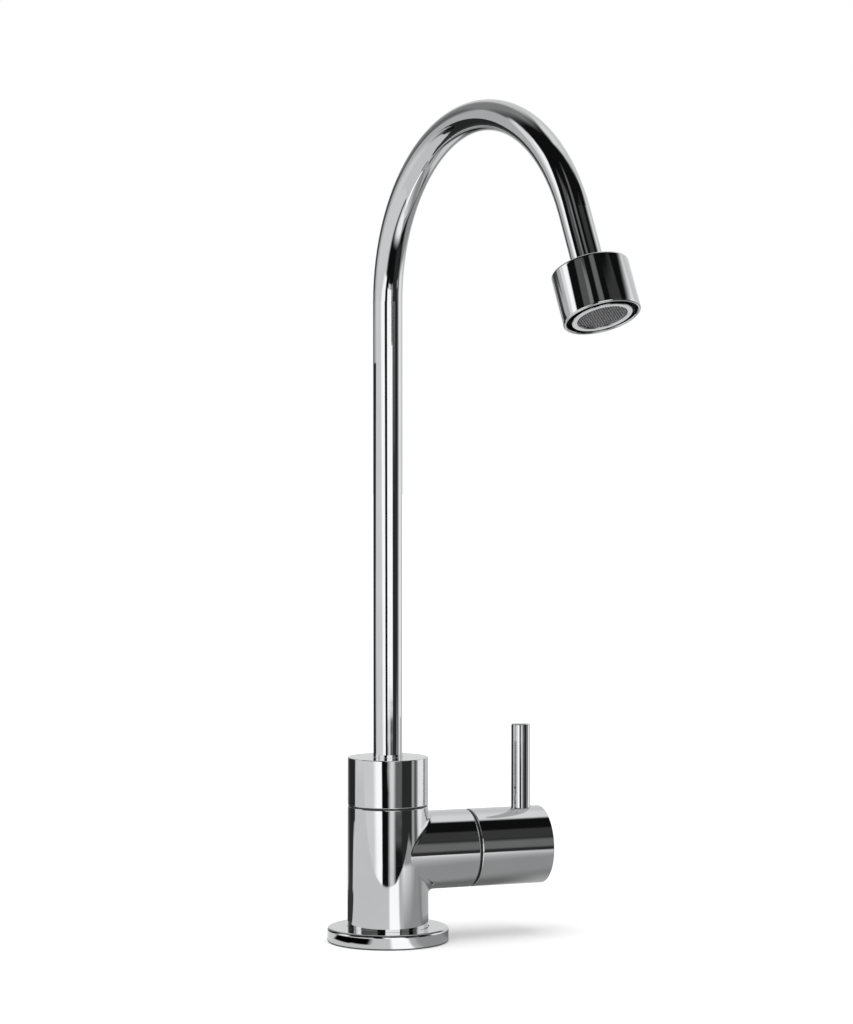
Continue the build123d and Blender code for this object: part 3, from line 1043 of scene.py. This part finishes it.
@dataclass
class Spout(SubAssembly):
    """The swivelling spout, from its spindle to the screen in its outlet."""

    screen: WovenScreen = field(default_factory=WovenScreen)
    shell: OutletShell = field(default_factory=OutletShell)
    upright_nodes: tuple[str, ...] = (
        "spout_spindle", "spindle_seals", "snap_ring", "spout_collar", "spout_tube"
    )
    jet_nodes: tuple[str, ...] = ("aerator_washer", "aerator_casing", "jet_plate", "screen_spacer")

    def woven_screen(self) -> None:
        """Make the wire cloth in place of the plain screen."""
        low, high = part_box("aerator_screen")
        middle = TurningAxis("screen", (low + high) / 2, self.axes.jet.direction)
        finish = self.book.material("wire_cloth", self.axes.jet)
        cloth = self.screen.build(middle, finish)
        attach(cloth, "spout")
        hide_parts("aerator_screen")

    def rolled_housing(self) -> None:
        """Make the outlet's housing with a rolled lip in place of the plain one."""
        outline = self.shell.outline()
        # This finish paints shade inside the mouth, as well as showing its bare metal.
        finish = self.book.material("plated_mouth_and_painted_shade", self.axes.jet)
        housing = ShapeMaker.turning("rolled_housing", outline, self.axes.jet, finish)
        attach(housing, "spout")
        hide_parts("outlet_housing")

    def build(self) -> None:
        """Dress the spout's nodes, and add its housing and screen."""
        super().build()
        self.rolled_housing()
        self.woven_screen()


@dataclass(frozen=True)
class Patch:
    """A soft-edged light or dark patch, which only polished metal shows.

    On the surroundings its reach is in degrees above the horizon, and on the table top
    in metres from the tap. A lean shifts its bearing by so many degrees for each of reach.
    """

    name: str
    bearing: Span
    reach: Span
    feather: Span
    brightness: float
    lean: float = 0.0

    def lay(self, graph: ShaderGraph, bearing: Socket, reach: Socket, under: Value) -> Socket:
        """Paint this patch over what is already there.

        Args:
            graph: The world's or the floor's shader.
            bearing: Bearing of a direction or place, in degrees.
            reach: How far up or out it is.
            under: Brightness of what the patch covers.

        Returns:
            The brightness with the patch in place.
        """
        if self.lean:
            bearing = graph.math("MULTIPLY_ADD", reach, -self.lean, bearing)
        across = graph.within(bearing, self.bearing, self.feather[0])
        along = graph.between(reach, self.reach, self.feather[1])
        cover = graph.math("MULTIPLY", across, along)
        painted = graph.blend(cover, under, self.brightness)
        painted.node.label = self.name
        return painted


@dataclass(frozen=True)
class StandingCard:
    """A dark card that stands near the tap, by its corners' bearings and heights.

    It shows in polished metal only: the camera and matt surfaces don't see it.
    """

    name: str
    corners: tuple[Corner, ...]
    distance: float
    tone: float

    def build(self, turn: float) -> None:
        """Stand the card beside the floor.

        Args:
            turn: Degrees by which the tap is turned from the camera's own axes.
        """
        mesh = bmesh.new()
        outline = []
        for bearing, height in self.corners:
            angle = math.radians(bearing - turn)
            across, along = math.sin(angle) * self.distance, math.cos(angle) * self.distance
            outline.append(mesh.verts.new((across, -along, height)))
        bmesh.ops.contextual_create(mesh, geom=outline)
        material = bpy.data.materials.new(self.name)
        graph = ShaderGraph(material)
        graph.show(graph.node("ShaderNodeEmission", {"Strength": self.tone}).outputs[0])
        card = ShapeMaker.finished(mesh, self.name, material)
        card.visible_camera = False
        card.visible_diffuse = False
        card.visible_transmission = False
        card.visible_shadow = False


@dataclass(frozen=True)
class Studio:
    """White surroundings with the light walls and dark screens that chrome is shot in.

    Patches show in reflections only. To the camera the surroundings are plain white, and
    matt pieces are lit evenly from all round and a little more from above. Each edge of
    the table top runs from where metal no longer sees it to where it sees all of it.
    """

    turn: float = 20.553
    dusk: float = 0.007
    all_round_light: float = 0.62
    upper_light: Span = (28.0, 44.0)
    upper_tone: float = 0.9
    lamp_size: Span = (1.6, 1.2)
    lamp_power: float = 16.0
    lamp_place: Place = (-0.3, -0.2, 1.6)
    lamp_target: Place = (0.0, 0.0, 0.1)
    floor_reach: float = 6.0
    floor_colour: Colour = (0.86, 0.86, 0.86)
    floor_lift: float = 0.22
    floor_fade: Span = (0.15, 0.9)
    table_front: Span = (-0.182, -0.174)
    table_back: Span = (0.16, 0.1)
    table_right: Span = (0.31, 0.27)
    table_left: Span = (-0.7, -0.5)
    table_tone: float = 0.8
    table_shade: float = 0.4
    table_rise: float = 5.5
    table_rise_start: float = 0.035
    shaded_side: Span = (24.0, 180.0)
    shaded_feather: float = 20.0
    table_patches: tuple[Patch, ...] = (
        Patch("shade behind on the right", (100, 186), (0, 9), (24, 0.01), 0.2),
        Patch("light behind on the right", (104, 178), (0.07, 9), (16, 0.03), 0.55),
        Patch("screen's reflection", (-160, -115), (0.055, 9), (3, 0.01), 0.05),
        Patch("near end of that reflection", (-119, -110.5), (0.055, 0.15), (3, 0.03), 0.05),
        Patch("shade in front on the right", (45, 84), (0.238, 9), (8, 0.02), 0.42),
        Patch("edge of the streak", (26, 40), (0, 9), (12, 0.01), 0.66),
        Patch("streak of the strip light", (4, 30), (0, 9), (6, 0.01), 1.5),
        Patch("shade behind", (180, 203), (0, 9), (10, 0.01), 0.2),
        Patch("shade at the flange", (-88, -52), (0.0355, 0.052), (8, 0.003), 0.0),
        Patch("end of that shade", (-64, -24), (0.037, 0.052), (10, 0.003), 0.0),
        Patch("shade under the rim", (-180, 180), (0, 0.0262), (0.1, 0.002), 0.12),
    )
    panels: tuple[Patch, ...] = (
        Patch("ceiling at the back", (-190, -112), (0, 72), (30, 24), 0.3),
        Patch("ceiling in front", (-12, 6), (38, 68), (6, 16), 0.19),
        Patch("ceiling at the left", (-60, -31), (20, 44), (4, 10), 0.12),
        Patch("edge of that ceiling", (-41, -31), (28, 40), (5, 5), 0.28),
        Patch("ceiling at the right", (30, 74), (26, 50), (8, 6), 0.055),
        Patch("back left wall", (190, 206), (-14, 60), (10, 20), 0.42),
        Patch("back wall", (122, 198), (-14, 60), (14, 26), 0.8),
        Patch("sheet over the back", (118, 168), (46, 76), (24, 16), 1.0),
        Patch("right return", (77, 96), (-14, 26), (4, 10), 0.14),
        Patch("right wall", (93, 126), (-14, 31), (12, 14), 1.15),
        Patch("foot of the back wall", (92, 180), (-42, -14), (24, 16), 0.4),
        Patch("floor behind", (140, 186), (-62, -34), (14, 6), 0.85),
        Patch("edge of the back left screen", (-163, -148), (-60, 9), (6, 12), 0.35),
        Patch("far end of the left wall", (-132, -96), (-20, 24), (8, 8), 0.6),
        Patch("screen at the back left", (-149, -132), (-60, 3), (8, 4), 0.06),
        Patch("top of that screen", (-154, -122), (1.8, 11), (8, 1.5), 0.08),
        Patch("above that screen", (-139, -121), (9, 26), (8, 8), 0.18),
        Patch("left wall", (-104, -21), (-70, 8), (16, 6), 0.9),
        Patch("near end of the left wall", (-51, -20), (-11, 7), (16, 3), 1.5, lean=-2.0),
        Patch("upper left sheet", (-108, -83.5), (4, 31), (5, 9), 1.05),
        Patch("bright end of that sheet", (-97, -83.5), (5, 31), (5, 9), 1.45),
        Patch("front screen", (-22.5, -4), (-34, 12), (3, 4), 0.006, lean=-0.8),
        Patch("strip light", (-4, 37), (-6, 30), (3, 2), 1.5, lean=-0.3),
        Patch("side of the glow", (18, 41), (-7.7, -5.5), (12, 1), 0.17),
        Patch("glow under the strip", (4, 18.8), (-9, -5.5), (11, 2), 1.0),
        Patch("sheet below the table", (-5, 52), (-62, -38), (24, 14), 1.3),
        Patch("right screen's edge", (38.5, 62), (-1, 22), (3, 12), 0.2),
        Patch("right screen", (41, 77), (-32, -1), (4, 2), 0.035),
        Patch("glint on the right", (72, 80), (-10, -5.5), (5, 2), 0.5),
    )
    card: StandingCard = StandingCard(
        "card_at_the_left",
        (
            (-136, -0.25),
            (-114.5, -0.25),
            (-114.5, 0.035),
            (-103, 0.09),
            (-103, 0.24),
            (-136, 0.24),
        ),
        distance=0.4,
        tone=0.03,
    )

    def turned(self, graph: ShaderGraph, source: Socket) -> tuple[Socket, ...]:
        """X, Y and Z of a place or direction, with the camera's side as their -Y."""
        inputs = {"Vector": source, "Rotation": (0.0, 0.0, math.radians(self.turn))}
        return graph.split(graph.node("ShaderNodeMapping", inputs, vector_type="POINT").outputs[0])

    def bearing(self, graph: ShaderGraph, across: Socket, along: Socket) -> Socket:
        """Bearing in degrees by the turned X and Y."""
        towards = graph.math("MULTIPLY", along, -1.0)
        return graph.math("DEGREES", graph.math("ARCTAN2", across, towards))

    def backdrop(self, graph: ShaderGraph, strength: Value) -> Socket:
        """White surroundings of one strength."""
        inputs = {"Color": (1.0, 1.0, 1.0), "Strength": strength}
        return graph.node("ShaderNodeBackground", inputs).outputs[0]

    def surroundings(self) -> None:
        """Make the world: white to the camera, even for matt light, patches for gloss."""
        world = bpy.data.worlds.new("studio")
        bpy.context.scene.world = world
        graph = ShaderGraph(world)
        source = graph.node("ShaderNodeTexCoord").outputs["Generated"]
        across, along, up = self.turned(graph, source)
        bearing = self.bearing(graph, across, along)
        height = graph.math("DEGREES", graph.math("ARCSINE", up))
        path = graph.node("ShaderNodeLightPath").outputs
        seen = self.dusk
        for panel in self.panels:
            seen = panel.lay(graph, bearing, height, seen)
        again = graph.rise(path["Glossy Depth"], 1.0, 2.0)
        again = graph.math("MULTIPLY", again, graph.rise(height, *self.upper_light))
        seen = graph.blend(again, seen, self.upper_tone)
        mirrored = self.backdrop(graph, seen)
        matt = self.backdrop(graph, self.all_round_light)
        lit = graph.either(path["Is Glossy Ray"], matt, mirrored)
        straight = path["Is Camera Ray"], path["Is Transmission Ray"]
        plain = self.backdrop(graph, 1.0)
        graph.show(graph.either(graph.math("MAXIMUM", *straight), lit, plain))
        LOG.info("%s: %d panels", world.name, len(self.panels))

    def table_seen(self, graph: ShaderGraph, across: Socket, along: Socket) -> Socket:
        """Brightness of the table top as polished metal shows it.

        Args:
            graph: The floor's material.
            across: The place's turned X.
            along: The place's turned Y.

        Returns:
            The brightness.
        """
        bearing = self.bearing(graph, across, along)
        nearness = graph.math("SUBTRACT", -self.table_rise_start, along)
        nearness = graph.math("MAXIMUM", nearness, 0.0)
        shaded = graph.math("MULTIPLY_ADD", nearness, self.table_rise, self.table_shade)
        side = graph.within(bearing, self.shaded_side, self.shaded_feather)
        tone = graph.blend(side, self.table_tone, shaded)
        distance = graph.length(across, along)
        for patch in self.table_patches:
            tone = patch.lay(graph, bearing, distance, tone)
        return tone

    def table_extent(self, graph: ShaderGraph, across: Socket, along: Socket) -> Socket:
        """Where the table top lies.

        Args:
            graph: The floor's material.
            across: The place's turned X.
            along: The place's turned Y.

        Returns:
            1 on the table top and 0 past its edges.
        """
        front = graph.rise(along, *self.table_front)
        depth = graph.math("MULTIPLY", front, graph.rise(along, *self.table_back))
        right = graph.rise(across, *self.table_right)
        width = graph.math("MULTIPLY", right, graph.rise(across, *self.table_left))
        return graph.math("MULTIPLY", depth, width)

    def floor_shader(self, graph: ShaderGraph) -> Socket:
        """Pale floor that metal sees as a table top with the panels beyond it.

        The floor adds light for the camera, more with the distance, so that it meets the
        white behind it.

        Args:
            graph: The floor's material.

        Returns:
            The floor's shader.
        """
        source = graph.node("ShaderNodeTexCoord").outputs["Object"]
        across, along, _ = self.turned(graph, source)
        path = graph.node("ShaderNodeLightPath").outputs
        far = graph.rise(graph.length(across, along), *self.floor_fade)
        lift = graph.blend(far, self.floor_lift, 1.0)
        lift = graph.math("MULTIPLY", path["Is Camera Ray"], lift)
        matt = graph.node("ShaderNodeBsdfDiffuse", {"Color": self.floor_colour}).outputs[0]
        lifted = graph.node("ShaderNodeEmission", {"Strength": lift}).outputs[0]
        plain = graph.fed("ShaderNodeAddShader", matt, lifted)
        seen = self.table_seen(graph, across, along)
        table = graph.node("ShaderNodeEmission", {"Strength": seen}).outputs[0]
        beyond = graph.node("ShaderNodeBsdfTransparent").outputs[0]
        mirrored = graph.either(self.table_extent(graph, across, along), beyond, table)
        return graph.either(path["Is Glossy Ray"], plain, mirrored)

    def floor(self) -> None:
        """Lay the floor."""
        mesh = bmesh.new()
        bmesh.ops.create_grid(mesh, x_segments=1, y_segments=1, size=self.floor_reach)
        material = bpy.data.materials.new("pale_floor")
        graph = ShaderGraph(material)
        graph.show(self.floor_shader(graph))
        floor = ShapeMaker.finished(mesh, "floor", material)

    def overhead(self) -> None:
        """Hang one broad lamp above, which lights matt surfaces and gives a soft shadow."""
        lamp = bpy.data.lights.new("overhead", "AREA")
        lamp.shape = "RECTANGLE"
        lamp.size, lamp.size_y = self.lamp_size
        lamp.energy = self.lamp_power
        made = ShapeMaker.link(lamp, "overhead")
        made.location = self.lamp_place
        aim = Vector(self.lamp_target) - Vector(self.lamp_place)
        made.rotation_euler = aim.to_track_quat("-Z", "Y").to_euler()
        made.visible_glossy = False

    def build(self) -> None:
        """Put up the whole studio."""
        self.surroundings()
        self.floor()
        self.overhead()
        self.card.build(self.turn)
        bpy.context.scene.view_settings.view_transform = "Standard"


@dataclass(frozen=True)
class PhotoCamera:
    """The photograph's camera, by its distance in front of the tap and its own tilt."""

    lens: float = 112.87
    distance: float = 1.3033
    height: float = 0.2191
    yaw: float = 0.691
    pitch: float = 1.940
    clip: Span = (0.05, 50.0)

    def build(self, turn: float) -> None:
        """Stand the camera in the scene.

        Args:
            turn: Degrees by which the tap is turned from the camera's own axes.
        """
        to_tap = Matrix.Rotation(-math.radians(turn), 3, "Z")
        yaw, pitch = math.radians(self.yaw), math.radians(self.pitch)
        level = math.cos(pitch)
        aim = Vector((math.sin(yaw) * level, math.cos(yaw) * level, -math.sin(pitch)))
        data = bpy.data.cameras.new("photo_camera")
        data.lens = self.lens
        data.clip_start, data.clip_end = self.clip
        camera = ShapeMaker.link(data, "photo_camera")
        camera.location = to_tap @ Vector((0.0, -self.distance, self.height))
        camera.rotation_euler = (to_tap @ aim).to_track_quat("-Z", "Y").to_euler()
        bpy.context.scene.camera = camera


def main() -> None:
    """Dress the tap, put up the studio and stand the camera."""
    logging.basicConfig(level=logging.INFO, format="%(message)s")
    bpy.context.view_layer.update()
    book, axes = FinishBook(), Axes()
    TapBody(book, axes).build()
    FixingSet(book, axes).build()
    Handle(book, axes).build()
    Spout(book, axes).build()
    studio = Studio()
    studio.build()
    PhotoCamera().build(studio.turn)


if __name__ == "__main__":
    main()
